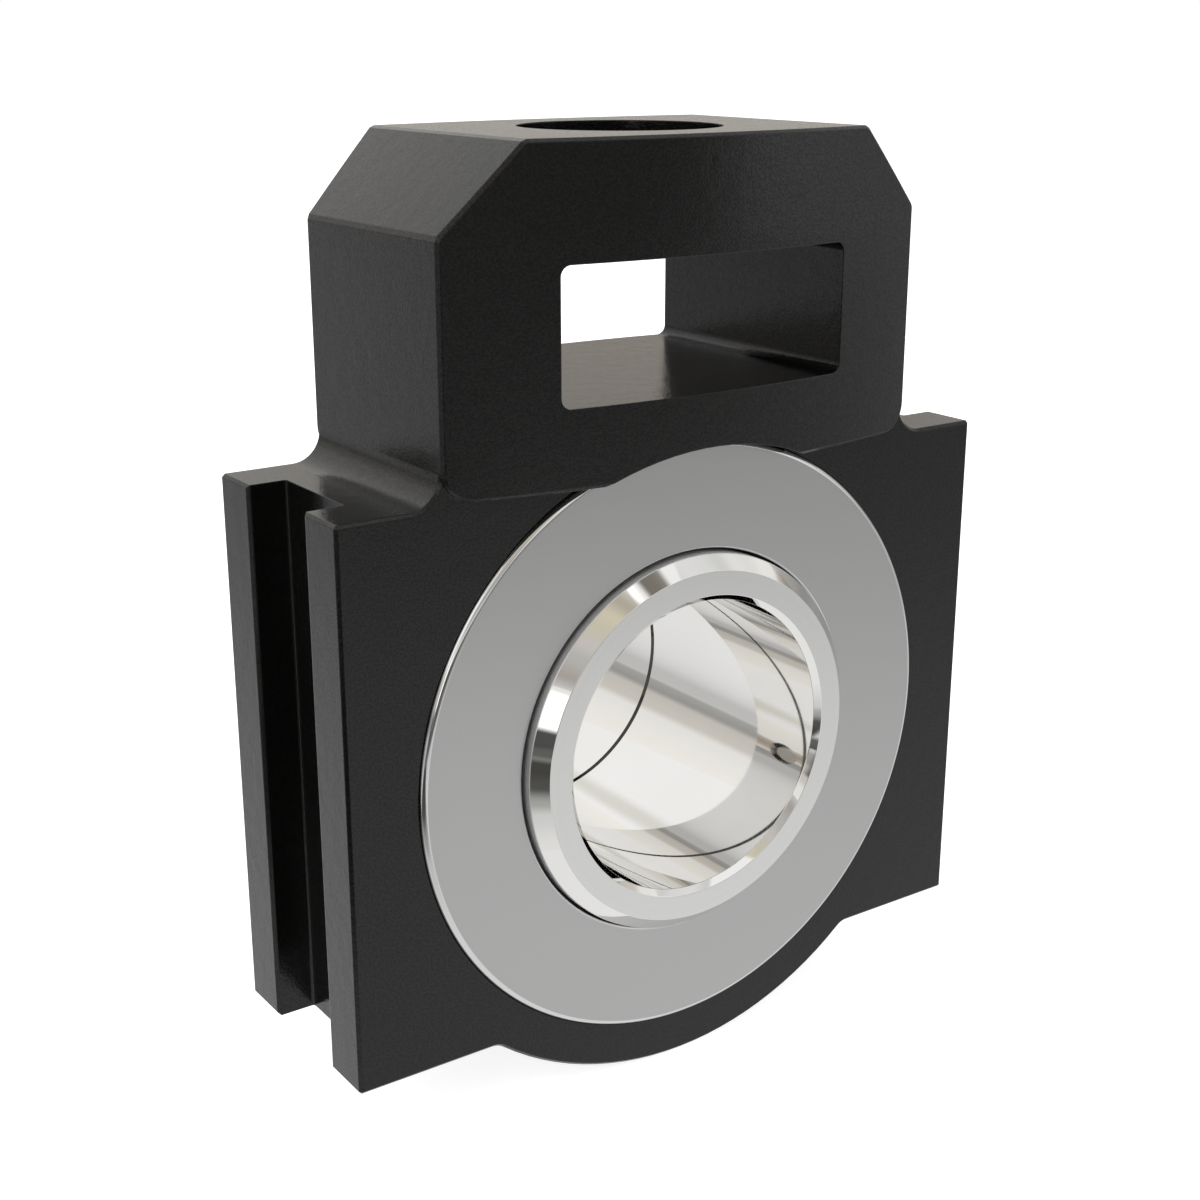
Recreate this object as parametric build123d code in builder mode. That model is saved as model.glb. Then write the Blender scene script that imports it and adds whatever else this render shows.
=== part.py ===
from build123d import *
import os
from math import cos, radians, sin, sqrt, tan

# Take-up bearing unit: a one-piece cast housing that slides on two guide rails and holds a
# sealed double-row spherical roller bearing with an eccentric locking collar.
# Millimetres. The shaft axis is Y, with the plain end of the inner ring at -Y and the collar at +Y.
# +Z points along the take-up screw, and the origin is the centre of the bearing.

# Shaft seat and housing envelope
shaft_d = 60.0
plate_width = 150.4
plate_thickness = 46.7
plate_top = 55.7
plate_bottom = 53.9
boss_r = 70.0
boss_blend_r = 4.0
guide_width = 23.1
guide_depth = 7.9
guide_root_r = 0.6

# Screw block above the plate
block_width = 109.3
block_end_thickness = 48.3
block_bulge = 6.5
block_top = 117.8
block_skirt = 0.6
block_chamfer = 15.8
block_lower_round = 6.0
shoulder_fillet = 6.0
window_width = 65.2
window_floor = 71.3
window_height = 25.2
window_corner_r = 2.0
screw_hole_d = 39.6
edge_chamfer = 0.6

# Bearing seat in the housing, and the two covers that close it
outer_ring_d = 114.0
outer_ring_width = 33.0
outer_ring_chamfer = 1.0
cover_d = 121.7
cover_room = 0.15
cover_proud = 1.15
cover_flange = 5.0
cover_wall = 2.8
cover_edge = 1.1
cover_bore_gap = 0.55
cover_bore_edge = 0.3
press_gap = 0.03

# Double-row spherical roller set
sphere_r = 52.0
roller_d = 15.0
roller_length = 11.4
roller_count = 14
contact_angle = 11.5
rolling_gap = 0.3
race_end_room = 0.4
cage_band = 3.0
cage_inner_rim = 1.4
cage_outer_rim = 1.6
pocket_gap = 0.3
guide_ring_height = 5.2
guide_ring_gap = 0.3

# Inner ring
ring_front = 28.8
ring_rear = 28.2
rib_height = 4.1
ring_face_chamfer = 2.85
bore_chamfer = 1.2
seam_chamfer = 0.55
cam_d = 73.2
cam_offset = 1.5
cam_length = 3.6

# Seals with two lips, and the plates that keep them in the covers
seal_run_gap = 0.05
seal_lip_count = 2
seal_lip_height = 1.35
seal_lip_pitch = 1.3
seal_lip_width = 0.35
seal_hub_height = 0.9
seal_hub_width = 2.4
seal_flange_height = 4.8
seal_flange_width = 1.2
seal_room = 1.0
seal_rim_room = 4.0
retainer_thickness = 0.9
retainer_bore_gap = 0.8

# Locking collar and its screw
collar_d = 85.0
collar_length = 22.4
collar_ring_overlap = 2.6
collar_edge = 1.1
collar_fit = 0.1
collar_screw_d = 10.0
collar_screw_y = 36.3
collar_screw_angle = 182.0
collar_screw_length = 10.0
collar_screw_recess = 1.0
collar_screw_point = 1.5
collar_screw_hex = 5.0
collar_screw_socket = 5.0
drift_hole_d = 8.0
drift_hole_depth = 6.0
drift_hole_angle = 75.0

# Lubrication
oil_groove_width = 6.0
oil_groove_depth = 1.0
oil_hole_d = 3.5
oil_hole_count = 3
grease_hole_d = 3.0
grease_spot_d = 12.0
grease_spot_depth = 1.0
grease_thread_d = 8.0
grease_thread_length = 7.0
grease_hex = 9.0
grease_hex_height = 4.0
grease_neck_d = 4.6
grease_neck_length = 2.2
grease_head_d = 6.5
grease_head_length = 3.3
grease_head_edge = 1.2
grease_bore_d = 2.0

# Derived sizes
bore_r = shaft_d / 2
half_plate = plate_thickness / 2
half_width = plate_width / 2
half_block = block_width / 2
block_bottom = plate_top + block_skirt
block_end = block_end_thickness / 2
block_middle = block_end + block_bulge
window_middle = window_floor + window_height / 2

seat_r = outer_ring_d / 2
half_ring = outer_ring_width / 2
cover_r = cover_d / 2
counterbore_r = cover_r + cover_room
cover_face = half_plate + cover_proud
cover_seat = cover_face - cover_flange
cover_inside = cover_face - cover_wall

roller_r = roller_d / 2
barrel_r = sphere_r - rolling_gap
roller_centre = barrel_r - roller_r
tilt = radians(contact_angle)
pitch_angle = 360 / roller_count

race_end = roller_length / 2 + race_end_room
race_end_set = roller_centre - sqrt(sphere_r ** 2 - race_end ** 2)
rib_foot_r = (roller_centre + race_end_set) * cos(tilt) - race_end * sin(tilt)
land_r = rib_foot_r + rib_height
cover_bore_r = land_r + cover_bore_gap
cam_start = ring_rear - cam_length
collar_front = ring_rear - collar_ring_overlap

seal_outside = cover_inside - seal_room
seal_flange_inside = seal_outside - seal_flange_width
seal_hub_inside = seal_outside - seal_hub_width
seal_tip_r = land_r + seal_run_gap
seal_hub_r = seal_tip_r + seal_lip_height
seal_hub_outside_r = seal_hub_r + seal_hub_height
retainer_outside = seal_flange_inside - seal_room
retainer_bore_r = seal_hub_outside_r + retainer_bore_gap
seal_flange_r = seal_hub_outside_r + seal_flange_height
cavity_r = seal_flange_r + seal_rim_room

shoulder_set_in = shoulder_fillet * (1 - sin(radians(45)))
grease_direction = Vector(half_block + shoulder_set_in, 0, plate_top + shoulder_set_in)
grease_seat = grease_direction.length - grease_spot_depth


def roller_plane(side, angle):
    """Frame of one roller: X points away from the bearing's centre and Y runs along the roller's axis."""
    turn = radians(angle)
    outward = Vector(cos(tilt) * cos(turn), side * sin(tilt), cos(tilt) * sin(turn))
    along = Vector(-sin(tilt) * cos(turn), side * cos(tilt), -sin(tilt) * sin(turn))
    return Plane(origin=outward * roller_centre, x_dir=outward, z_dir=outward.cross(along))


def row_planes(side):
    """The roller frames of one row. The rear row is turned by half a pitch against the front row."""
    start = 0 if side < 0 else pitch_angle / 2
    return [roller_plane(side, start + pitch_angle * number) for number in range(roller_count)]


def section_point(side, outward, along):
    """Point (radius, y) of the bearing's axial section, from distances to a roller's centre."""
    radius = (roller_centre + outward) * cos(tilt) - along * sin(tilt)
    return (radius, side * ((roller_centre + outward) * sin(tilt) + along * cos(tilt)))


def roller_end_y(radius):
    """Distance from the middle plane to the inner end faces of the rollers, at a radius."""
    half = roller_length / 2
    return (radius - half * sin(tilt)) * tan(tilt) - half * cos(tilt)


def radial_plane(angle, radius, y):
    """Plane on a shaft-centred cylinder, facing away from the shaft's axis."""
    outward = Vector(cos(radians(angle)), 0, sin(radians(angle)))
    return Plane(origin=outward * radius + Vector(0, y, 0), x_dir=(0, 1, 0), z_dir=outward)


def finish(part, label):
    """Name a finished piece and write it to its own file."""
    part.label = label
    export_step(part, f"parts/{label}.step")


os.makedirs("parts", exist_ok=True)

# Slide plate: flat casting with the round boss below, the neck above and a guide slot at each end
with BuildPart() as slide_plate:
    with BuildSketch(Plane.XZ.offset(-half_plate)) as plate_outline:
        with Locations((0, (plate_top - plate_bottom) / 2)):
            Rectangle(plate_width, plate_top + plate_bottom)
        with Locations((0, block_bottom)):
            Rectangle(block_width, 4 * shoulder_fillet)
        Circle(boss_r)
        inner_corners = plate_outline.vertices().filter_by(lambda v: abs(v.X) < half_width - 0.01)
        fillet(inner_corners.filter_by(lambda v: v.Y < 0), boss_blend_r)
        shoulders = plate_outline.vertices().filter_by(lambda v: abs(v.Y - plate_top) < 0.01)
        fillet(shoulders.filter_by(lambda v: abs(v.X) < half_width - 0.01), shoulder_fillet)
    extrude(amount=plate_thickness)
    rims = [edge for face in slide_plate.faces().filter_by(Axis.Y) for edge in face.edges()]
    corners = slide_plate.edges().filter_by(Axis.Y).filter_by(
        lambda edge: abs(abs(edge.center().X) - half_width) < 0.01
    )
    chamfer(rims + corners, edge_chamfer)
    with BuildSketch(Plane.XY.offset(-plate_bottom - 1)) as guide_slots:
        with Locations((-half_width, 0), (half_width, 0)):
            Rectangle(2 * guide_depth, guide_width)
        fillet(guide_slots.vertices().filter_by(lambda v: abs(v.X) < half_width), guide_root_r)
    extrude(amount=plate_top + plate_bottom + 2, mode=Mode.SUBTRACT)
    sides = slide_plate.edges().filter_by(Axis.Z).filter_by(
        lambda edge: abs(abs(edge.center().X) - half_width) < 0.01
    )
    chamfer(sides.filter_by(lambda edge: abs(abs(edge.center().Y) - guide_width / 2) < 0.01), edge_chamfer)

# Screw block: bulged front and back, cut corners at the top, rounded lower corners
with BuildPart() as screw_block:
    with BuildSketch(Plane.XY.offset(block_bottom)):
        with BuildLine():
            front = ThreePointArc((-half_block, -block_end), (0, -block_middle), (half_block, -block_end))
            back = ThreePointArc((half_block, block_end), (0, block_middle), (-half_block, block_end))
            Line(front @ 1, back @ 0)
            Line(back @ 1, front @ 0)
        make_face()
    extrude(amount=block_top - block_bottom)
    with BuildSketch(Plane.XZ) as block_face:
        with Locations((0, (block_top + block_bottom) / 2)):
            Rectangle(block_width, block_top - block_bottom)
        chamfer(block_face.vertices().group_by(Axis.Y)[-1], block_chamfer)
        fillet(block_face.vertices().group_by(Axis.Y)[0], block_lower_round)
    extrude(amount=block_middle + 1, both=True, mode=Mode.INTERSECT)
    chamfer(screw_block.edges(), edge_chamfer)

# Housing: plate and block as one casting, with the bearing seat, the nut window and the screw hole
with BuildPart() as housing:
    add(slide_plate.part)
    add(screw_block.part)
    with BuildSketch(Plane.XZ):
        Circle(seat_r)
    extrude(amount=block_middle + 1, both=True, mode=Mode.SUBTRACT)
    for side in (-1, 1):
        with BuildSketch(Plane.XZ.offset(-side * cover_seat)):
            Circle(counterbore_r)
        extrude(amount=-side * block_middle, mode=Mode.SUBTRACT)
    with BuildSketch(Plane.XZ):
        with Locations((0, window_middle)):
            RectangleRounded(window_width, window_height, window_corner_r)
    extrude(amount=block_middle + 1, both=True, mode=Mode.SUBTRACT)
    with BuildSketch(Plane.XY.offset(window_middle)):
        Circle(screw_hole_d / 2)
    extrude(amount=block_top, mode=Mode.SUBTRACT)
    grease_port = Plane(origin=grease_direction.normalized() * grease_seat, z_dir=grease_direction)
    with BuildSketch(grease_port):
        Circle(grease_spot_d / 2)
    extrude(amount=grease_seat, mode=Mode.SUBTRACT)
    with BuildSketch(grease_port):
        Circle(grease_thread_d / 2 + press_gap)
    extrude(amount=-grease_thread_length, mode=Mode.SUBTRACT)
    with BuildSketch(grease_port):
        Circle(grease_hole_d / 2)
    extrude(amount=seat_r - grease_seat - 1, mode=Mode.SUBTRACT)
finish(housing.part, "housing")

# Grease fitting on the shoulder, over a drilled way to the outer ring's groove
with BuildPart() as grease_fitting:
    with BuildSketch(grease_port):
        Circle(grease_thread_d / 2)
    extrude(amount=-grease_thread_length)
    with BuildSketch(grease_port):
        RegularPolygon(grease_hex / 2, 6, major_radius=False)
    extrude(amount=grease_hex_height)
    with BuildSketch(grease_port.offset(grease_hex_height)):
        Circle(grease_neck_d / 2)
    extrude(amount=grease_neck_length)
    with BuildSketch(grease_port.offset(grease_hex_height + grease_neck_length)):
        Circle(grease_head_d / 2)
    extrude(amount=grease_head_length)
    chamfer(grease_fitting.faces().sort_by(Axis((0, 0, 0), grease_direction))[-1].edges(), grease_head_edge)
    with BuildSketch(grease_port.offset(-grease_thread_length)):
        Circle(grease_bore_d / 2)
    extrude(amount=grease_thread_length + grease_hex_height + grease_neck_length, mode=Mode.SUBTRACT)
finish(grease_fitting.part, "grease_fitting")

# Outer ring: one spherical raceway for both rows, with an oil groove and radial oil holes
with BuildPart() as outer_ring:
    with BuildSketch() as outer_ring_section:
        with Locations((seat_r / 2, 0)):
            Rectangle(seat_r, outer_ring_width)
        chamfer(outer_ring_section.vertices().group_by(Axis.X)[-1], outer_ring_chamfer)
        Circle(sphere_r, mode=Mode.SUBTRACT)
        with Locations((seat_r, 0)):
            Rectangle(2 * oil_groove_depth, oil_groove_width, mode=Mode.SUBTRACT)
    revolve(axis=Axis.Y)
    for number in range(oil_hole_count):
        with BuildSketch(radial_plane(90 + 360 * number / oil_hole_count, seat_r, 0)):
            Circle(oil_hole_d / 2)
        extrude(amount=sphere_r - seat_r - rolling_gap - 1, mode=Mode.SUBTRACT)
finish(outer_ring.part, "outer_ring")

# Inner ring: two inclined raceways with outer ribs, seal lands, and an eccentric cam at the rear
rib_foot_y = section_point(1, race_end_set, race_end)[1]
rib_top = (land_r, rib_foot_y + rib_height * tan(tilt))
with BuildPart() as inner_ring:
    with BuildSketch():
        with BuildLine():
            front_race, rear_race = [
                ThreePointArc(
                    section_point(side, race_end_set, -race_end),
                    section_point(side, -roller_r - rolling_gap, 0),
                    section_point(side, race_end_set, race_end),
                )
                for side in (-1, 1)
            ]
            Line(front_race @ 0, rear_race @ 0)
            Polyline(
                rear_race @ 1,
                rib_top,
                (land_r, cam_start),
                (bore_r, cam_start),
                (bore_r, bore_chamfer - ring_front),
                (bore_r + bore_chamfer, -ring_front),
                (land_r - ring_face_chamfer, -ring_front),
                (land_r, ring_face_chamfer - ring_front),
                (land_r, -rib_top[1]),
                front_race @ 1,
            )
        make_face()
    revolve(axis=Axis.Y)
    with BuildSketch(Plane.XZ.offset(-cam_start)):
        with Locations((0, cam_offset)):
            Circle(cam_d / 2)
        Circle(bore_r, mode=Mode.SUBTRACT)
    extrude(amount=-cam_length)
    chamfer(inner_ring.faces().sort_by(Axis.Y)[-1].edges(), seam_chamfer)
finish(inner_ring.part, "inner_ring")

# Rollers: barrels whose profile follows the sphere of the outer raceway
half_barrel = roller_length / 2
barrel_end_r = sqrt(barrel_r ** 2 - half_barrel ** 2) - roller_centre
for side, row in ((-1, "front"), (1, "rear")):
    for number, plane in enumerate(row_planes(side), start=1):
        with BuildPart() as roller:
            with BuildSketch(plane):
                with BuildLine():
                    flank = ThreePointArc((barrel_end_r, -half_barrel), (roller_r, 0), (barrel_end_r, half_barrel))
                    Polyline(flank @ 1, (0, half_barrel), (0, -half_barrel), flank @ 0)
                make_face()
            revolve(axis=Axis(plane.origin, plane.y_dir))
        finish(roller.part, f"{row}_roller_{number:02d}")

# Cages: one conical band for each row, with a window for every roller
inner_edge = -roller_length / 2 - pocket_gap - cage_inner_rim
outer_edge = roller_length / 2 + pocket_gap + cage_outer_rim
for side, row in ((-1, "front"), (1, "rear")):
    with BuildPart() as cage:
        with BuildSketch():
            with BuildLine():
                Polyline(
                    section_point(side, -cage_band / 2, inner_edge),
                    section_point(side, cage_band / 2, inner_edge),
                    section_point(side, cage_band / 2, outer_edge),
                    section_point(side, -cage_band / 2, outer_edge),
                    close=True,
                )
            make_face()
        revolve(axis=Axis.Y)
        for plane in row_planes(side):
            pocket = Plane(origin=plane.origin, x_dir=plane.x_dir, z_dir=plane.y_dir)
            with Locations(pocket):
                Cylinder(roller_r + pocket_gap, roller_length + 2 * pocket_gap, mode=Mode.SUBTRACT)
    finish(cage.part, f"{row}_cage")

# Guide ring: floats on the inner ring between the two rows, with flanks that follow the roller ends
guide_ring_bore_r = section_point(1, race_end_set, -race_end)[0] + guide_ring_gap
guide_ring_rim_r = guide_ring_bore_r + guide_ring_height
bore_half_width = roller_end_y(guide_ring_bore_r) - guide_ring_gap
rim_half_width = roller_end_y(guide_ring_rim_r) - guide_ring_gap
with BuildPart() as guide_ring:
    with BuildSketch():
        with BuildLine():
            Polyline(
                (guide_ring_bore_r, -bore_half_width),
                (guide_ring_rim_r, -rim_half_width),
                (guide_ring_rim_r, rim_half_width),
                (guide_ring_bore_r, bore_half_width),
                close=True,
            )
        make_face()
    revolve(axis=Axis.Y)
finish(guide_ring.part, "guide_ring")

# Covers, with the retainer plates and the seals that they hold
for side, end in ((-1, "front"), (1, "rear")):
    with BuildPart() as cover:
        with BuildSketch() as cover_section:
            with BuildLine():
                Polyline(
                    (cover_bore_r, side * cover_inside),
                    (cavity_r, side * cover_inside),
                    (cavity_r, side * half_ring),
                    (seat_r - press_gap, side * half_ring),
                    (seat_r - press_gap, side * cover_seat),
                    (cover_r, side * cover_seat),
                    (cover_r, side * cover_face),
                    (cover_bore_r, side * cover_face),
                    close=True,
                )
            make_face()
            face_corners = cover_section.vertices().filter_by(lambda v: abs(abs(v.Y) - cover_face) < 0.01)
            chamfer(face_corners.sort_by(Axis.X)[-1], cover_edge)
            face_corners = cover_section.vertices().filter_by(lambda v: abs(abs(v.Y) - cover_face) < 0.01)
            chamfer(face_corners.sort_by(Axis.X)[0], cover_bore_edge)
        revolve(axis=Axis.Y)
    finish(cover.part, f"{end}_cover")

    with BuildPart() as retainer:
        with BuildSketch(Plane.XZ.offset(-side * retainer_outside)):
            Circle(cavity_r - press_gap)
            Circle(retainer_bore_r, mode=Mode.SUBTRACT)
        extrude(amount=side * retainer_thickness)
    finish(retainer.part, f"{end}_seal_retainer")

    with BuildPart() as seal:
        with BuildSketch() as seal_section:
            with Locations(((seal_hub_r + seal_hub_outside_r) / 2, side * (seal_hub_inside + seal_outside) / 2)):
                Rectangle(seal_hub_height, seal_hub_width)
            with Locations(((seal_hub_r + seal_flange_r) / 2, side * (seal_flange_inside + seal_outside) / 2)):
                Rectangle(seal_flange_r - seal_hub_r, seal_flange_width)
            with Locations(((seal_tip_r + seal_hub_outside_r) / 2, side * (seal_hub_inside + seal_outside) / 2)):
                with GridLocations(0, seal_lip_pitch, 1, seal_lip_count):
                    Rectangle(seal_hub_outside_r - seal_tip_r, seal_lip_width)
        revolve(axis=Axis.Y)
    finish(seal.part, f"{end}_seal")

# Locking collar: turns over the ring's cam by its eccentric recess, and is held by a radial screw
screw_outside = bore_r + collar_screw_recess + collar_screw_length
with BuildPart() as locking_collar:
    with BuildSketch(Plane.XZ.offset(-collar_front)):
        Circle(collar_d / 2)
    extrude(amount=-collar_length)
    chamfer(locking_collar.edges(), collar_edge)
    with BuildSketch(Plane.XZ.offset(-collar_front)):
        Circle(bore_r)
    extrude(amount=-collar_length, mode=Mode.SUBTRACT)
    chamfer(locking_collar.faces().sort_by(Axis.Y)[-1].edges().sort_by(SortBy.LENGTH)[0], collar_edge)
    with BuildSketch(Plane.XZ.offset(-collar_front)):
        with Locations((0, cam_offset)):
            Circle(cam_d / 2 + collar_fit)
    extrude(amount=-collar_ring_overlap, mode=Mode.SUBTRACT)
    recess_floor = locking_collar.faces().filter_by(Axis.Y).filter_by(
        lambda face: abs(face.center().Y - ring_rear) < 0.01
    )
    chamfer(recess_floor.edges().filter_by(lambda edge: abs(edge.radius - bore_r) < 0.01), seam_chamfer)
    with BuildSketch(radial_plane(collar_screw_angle, bore_r - 1, collar_screw_y)):
        Circle(collar_screw_d / 2 + press_gap)
    extrude(amount=collar_d, mode=Mode.SUBTRACT)
    with BuildSketch(radial_plane(collar_screw_angle + drift_hole_angle, collar_d / 2 + 1, collar_screw_y)):
        Circle(drift_hole_d / 2)
    extrude(amount=-drift_hole_depth - 1, mode=Mode.SUBTRACT)
finish(locking_collar.part, "locking_collar")

with BuildPart() as collar_screw:
    with BuildSketch(radial_plane(collar_screw_angle, bore_r + collar_screw_recess, collar_screw_y)):
        Circle(collar_screw_d / 2)
    extrude(amount=collar_screw_length)
    tip = collar_screw.faces().sort_by(lambda face: (face.center() - Vector(0, collar_screw_y, 0)).length)[0]
    chamfer(tip.edges(), collar_screw_point)
    with BuildSketch(radial_plane(collar_screw_angle, screw_outside, collar_screw_y)):
        RegularPolygon(collar_screw_hex / 2, 6, major_radius=False)
    extrude(amount=-collar_screw_socket, mode=Mode.SUBTRACT)
finish(collar_screw.part, "collar_screw")
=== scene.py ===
import bpy
import bmesh
from math import cos, hypot, pi, radians, sin
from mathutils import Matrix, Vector


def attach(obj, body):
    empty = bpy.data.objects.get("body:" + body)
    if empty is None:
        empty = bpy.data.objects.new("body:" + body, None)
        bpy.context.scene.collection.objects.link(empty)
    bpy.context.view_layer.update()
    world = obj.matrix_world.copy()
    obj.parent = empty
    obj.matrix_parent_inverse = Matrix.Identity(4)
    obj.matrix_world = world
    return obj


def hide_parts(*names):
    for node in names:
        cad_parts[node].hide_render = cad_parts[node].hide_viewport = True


# Take-up bearing unit: gloss black casting, satin covers, polished inner ring.
# Metres, in the same frame as the solids: shaft along Y, take-up screw along +Z.

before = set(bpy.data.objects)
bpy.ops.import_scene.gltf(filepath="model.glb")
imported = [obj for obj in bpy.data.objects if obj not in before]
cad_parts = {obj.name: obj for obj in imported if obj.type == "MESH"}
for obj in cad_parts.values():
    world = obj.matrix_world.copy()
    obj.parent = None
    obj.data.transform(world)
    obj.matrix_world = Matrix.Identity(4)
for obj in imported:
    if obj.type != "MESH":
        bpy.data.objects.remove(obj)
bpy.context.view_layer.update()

MM = 0.001
NEAR = 0.02 * MM
MERGE_DISTANCE = 0.002 * MM
COVER_SIDES = 192
RING_SIDES = 256
HOLE_SIDES = 64
HORIZON_SIDES = 96
SMOOTH_ANGLE = radians(40)

COVER_FACE = 24.5 * MM
COVER_SEAT = 19.5 * MM
COVER_INSIDE = 21.7 * MM
COVER_SPIGOT = 16.5 * MM
COVER_R = 60.85 * MM
COVER_RIM_ROUND = 1.25 * MM
COVER_BORE_R = 39.455 * MM
COVER_BORE_EDGE = 0.45 * MM
COVER_EDGE_BREAK = 0.2 * MM
SPIGOT_R = 56.97 * MM
CAVITY_R = 50.0 * MM
SATIN_START = COVER_BORE_R + 0.38 * MM
SATIN_END = COVER_R - 1.12 * MM
ZONE_BLEND = 0.08 * MM

BORE_R = 30.0 * MM
BORE_CHAMFER = 1.2 * MM
RING_FRONT = -28.8 * MM
RING_REAR = 28.2 * MM
RING_FACE_CHAMFER = 2.85 * MM
RING_EDGE_BREAK = 0.1 * MM
LAND_R = 38.905 * MM
CAM_R = 36.6 * MM
CAM_START = 24.6 * MM
CAM_RISE = 1.5 * MM
SEAM_CHAMFER = 0.55 * MM
SPHERE_R = 52.0 * MM
ROLLER_CENTRE = 44.2 * MM
ROW_TILT = radians(11.5)
RACE_END = 6.1 * MM
RACE_STEPS = 5
RIB_END = 14.14 * MM

COLLAR_R = 42.5 * MM
COLLAR_FRONT = 25.6 * MM
COLLAR_REAR = 48.0 * MM
COLLAR_EDGE = 1.1 * MM
COLLAR_EDGE_BREAK = 0.15 * MM
COLLAR_RECESS_R = 36.7 * MM
SCREW_Y = 36.3 * MM
SCREW_ANGLE = 182.0
SCREW_HOLE_R = 5.03 * MM
DRIFT_ANGLE = 257.0
DRIFT_HOLE_R = 4.0 * MM
DRIFT_HOLE_DEPTH = 6.0 * MM
HOLE_MARGIN = 0.4 * MM
DRILL_OVERRUN = 2.0 * MM

FLOOR_Z = -70.0 * MM


# Modelling helpers

def deselect_all():
    bpy.ops.object.select_all(action="DESELECT")


def name_piece(name):
    """Names the object that was just made, and its mesh."""
    piece = bpy.context.object
    piece.name = name
    piece.data.name = name
    return piece


def choose(piece):
    deselect_all()
    piece.select_set(True)
    bpy.context.view_layer.objects.active = piece


def settle(piece):
    """Puts the piece's place into its mesh, with its object at the origin."""
    choose(piece)
    bpy.ops.object.transform_apply(location=True, rotation=True, scale=True)


def pick_ends(piece, direction):
    """Selects, in edit mode, the faces that look along the shaft: 1 for rearwards, -1 for forwards."""
    mesh = bmesh.from_edit_mesh(piece.data)
    for face in mesh.faces:
        face.select_set(False)
    for face in mesh.faces:
        if direction * face.normal.y > 0.9:
            face.select_set(True)
    mesh.select_flush_mode()
    bmesh.update_edit_mesh(piece.data)


def pick_rims(piece, *rims):
    """Selects the edges of circles about the shaft axis, each given as its radius and its y."""
    mesh = bmesh.from_edit_mesh(piece.data)

    def rims_at(vert):
        radius = hypot(vert.co.x, vert.co.z)
        return {(r, y) for r, y in rims if abs(radius - r) < NEAR and abs(vert.co.y - y) < NEAR}

    place = {vert: rims_at(vert) for vert in mesh.verts}
    for face in mesh.faces:
        face.select_set(False)
    for edge in mesh.edges:
        first, second = edge.verts
        edge.select_set(bool(place[first] & place[second]))
    bmesh.update_edit_mesh(piece.data)


def bevel_rims(piece, width, segments, *rims):
    pick_rims(piece, *rims)
    bpy.ops.mesh.bevel(offset=width, segments=segments, affect="EDGES")


def extrude(along, up=0.0):
    bpy.ops.mesh.extrude_region_move(TRANSFORM_OT_translate={"value": (0, along, up)})


def turn_faces_outwards():
    bpy.ops.mesh.select_all(action="SELECT")
    bpy.ops.mesh.normals_make_consistent(inside=False)


def even_out(piece):
    """Smooth shading that keeps broad faces flat right up to their rounded edges."""
    choose(piece)
    bpy.ops.object.shade_smooth_by_angle(angle=SMOOTH_ANGLE)
    bpy.ops.object.modifier_add(type="WEIGHTED_NORMAL")
    weighted = piece.modifiers[-1]
    weighted.keep_sharp = True
    weighted.weight = 100
    bpy.ops.object.modifier_apply(modifier=weighted.name)


def turn_body(name, outline):
    """A closed turned body, left in edit mode. Each point is a radius, a y and the rise of its centre."""
    radius, y, rise = outline[0]
    deselect_all()
    bpy.ops.mesh.primitive_circle_add(
        vertices=RING_SIDES, radius=radius, location=(0, y, rise), rotation=(pi / 2, 0, 0)
    )
    body = name_piece(name)
    settle(body)
    bpy.ops.object.mode_set(mode="EDIT")
    bpy.ops.mesh.select_mode(type="EDGE")
    bpy.ops.mesh.select_all(action="SELECT")
    for next_radius, next_y, next_rise in outline[1:] + outline[:1]:
        extrude(next_y - y, next_rise - rise)
        growth = next_radius / radius
        bpy.ops.transform.resize(value=(growth, 1, growth), center_override=(0, next_y, next_rise))
        radius, y, rise = next_radius, next_y, next_rise
    bpy.ops.mesh.select_all(action="SELECT")
    bpy.ops.mesh.remove_doubles(threshold=MERGE_DISTANCE)
    turn_faces_outwards()
    return body


# Covers: turned discs with a rounded rim, a spigot that enters the seat and a cavity for the seal

def make_front_cover():
    deselect_all()
    bpy.ops.mesh.primitive_cylinder_add(
        vertices=COVER_SIDES,
        radius=COVER_R,
        depth=COVER_FACE - COVER_SEAT,
        location=(0, -(COVER_FACE + COVER_SEAT) / 2, 0),
        rotation=(pi / 2, 0, 0),
    )
    piece = name_piece("front_cover_disc")
    settle(piece)
    bpy.ops.object.mode_set(mode="EDIT")
    bpy.ops.mesh.select_mode(type="FACE")
    pick_ends(piece, 1)
    bpy.ops.mesh.inset(thickness=COVER_R - SPIGOT_R)
    extrude(COVER_SEAT - COVER_SPIGOT)
    bpy.ops.mesh.inset(thickness=SPIGOT_R - CAVITY_R)
    extrude(COVER_SPIGOT - COVER_INSIDE)
    bpy.ops.mesh.inset(thickness=CAVITY_R - COVER_BORE_R)
    bpy.ops.mesh.delete(type="ONLY_FACE")
    pick_ends(piece, -1)
    bpy.ops.mesh.inset(thickness=COVER_R - COVER_BORE_R)
    bpy.ops.mesh.delete(type="ONLY_FACE")
    bpy.ops.mesh.select_mode(type="EDGE")
    pick_rims(piece, (COVER_BORE_R, -COVER_FACE), (COVER_BORE_R, -COVER_INSIDE))
    bpy.ops.mesh.bridge_edge_loops()
    bevel_rims(piece, COVER_RIM_ROUND, 8, (COVER_R, -COVER_FACE))
    bevel_rims(piece, COVER_BORE_EDGE, 4, (COVER_BORE_R, -COVER_FACE))
    bevel_rims(
        piece,
        COVER_EDGE_BREAK,
        1,
        (COVER_R, -COVER_SEAT),
        (SPIGOT_R, -COVER_SPIGOT),
        (CAVITY_R, -COVER_SPIGOT),
    )
    turn_faces_outwards()
    bpy.ops.object.mode_set(mode="OBJECT")
    even_out(piece)
    return piece


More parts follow.
